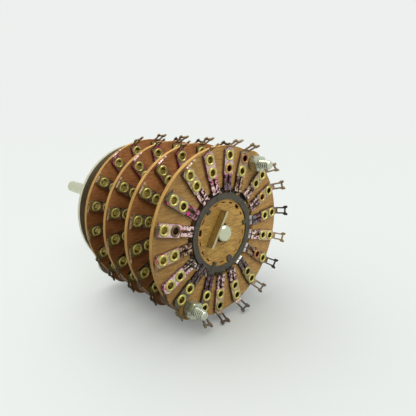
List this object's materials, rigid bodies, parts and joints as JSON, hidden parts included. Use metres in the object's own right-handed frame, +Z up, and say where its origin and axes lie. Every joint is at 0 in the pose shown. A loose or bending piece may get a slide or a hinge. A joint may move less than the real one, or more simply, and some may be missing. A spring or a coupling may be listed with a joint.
{
  "type": "rotary wafer switch",
  "caption": "Panel-mounted rotary switch: insulating wafers with rings of terminal clips on two tie studs, turned together by a long shaft with an index plate.",
  "frame": {"origin": "where the shaft axis meets the front face of the index plate, which seats on the panel", "axes": "-Y along the shaft towards the knob end, +Y through the decks to the rear, +Z up"},
  "size_m": [0.0684, 0.1318, 0.0686],
  "materials": {
    "wafer_laminate": "paper-based laminate, satin",
    "rotor_laminate": "paper-based laminate, satin",
    "clip_metal": "silver plate with pink and violet tarnish",
    "common_metal": "silver plate, tarnished dark",
    "eyelet_brass": "rolled brass, bright",
    "ring_metal": "silver plate, tarnished nearly black",
    "zinc_steel": "clear zinc plate",
    "spacer_steel": "dull zinc plate",
    "plate_steel": "dark plated sheet steel",
    "shaft_steel": "turned and plated steel",
    "spring_steel": "hardened steel, oiled"
  },
  "bodies": {
    "stack": {"index_plate": "plate_steel", "bushing": "zinc_steel", "tie_studs": "zinc_steel", "front_spacers": "spacer_steel", "deck_spacers": "spacer_steel", "stud_washers": "zinc_steel", "stud_nuts": "zinc_steel", "stator_wafer_1": "wafer_laminate", "stator_wafer_2": "wafer_laminate", "stator_wafer_3": "wafer_laminate", "stator_wafer_4": "wafer_laminate", "terminal_clips_1": "clip_metal", "terminal_clips_2": "clip_metal", "terminal_clips_3": "clip_metal", "terminal_clips_4": "clip_metal", "common_clip_1": "common_metal", "common_clip_2": "common_metal", "common_clip_3": "common_metal", "common_clip_4": "common_metal", "clip_backs_1": "clip_metal", "clip_backs_2": "clip_metal", "clip_backs_3": "clip_metal", "clip_backs_4": "clip_metal", "eyelets_1": "eyelet_brass", "eyelets_2": "eyelet_brass", "eyelets_3": "eyelet_brass", "eyelets_4": "eyelet_brass"},
    "rotor": {"shaft": "shaft_steel", "retaining_ring": "spring_steel", "index_arm": "spring_steel", "index_balls": "spring_steel", "index_spring": "spring_steel", "index_hub": "spring_steel", "drive_blade": "shaft_steel", "rotor_disc_1": "rotor_laminate", "rotor_disc_2": "rotor_laminate", "rotor_disc_3": "rotor_laminate", "rotor_disc_4": "rotor_laminate", "rotor_ring_1": "ring_metal", "rotor_ring_2": "ring_metal", "rotor_ring_3": "ring_metal", "rotor_ring_4": "ring_metal"}
  },
  "joints": [
    {"name": "shaft_turn", "type": "hinge", "parent": "stack", "child": "rotor", "pos_m": [0, 0, 0], "axis": [0, 1, 0], "continuous": true}
  ]
}
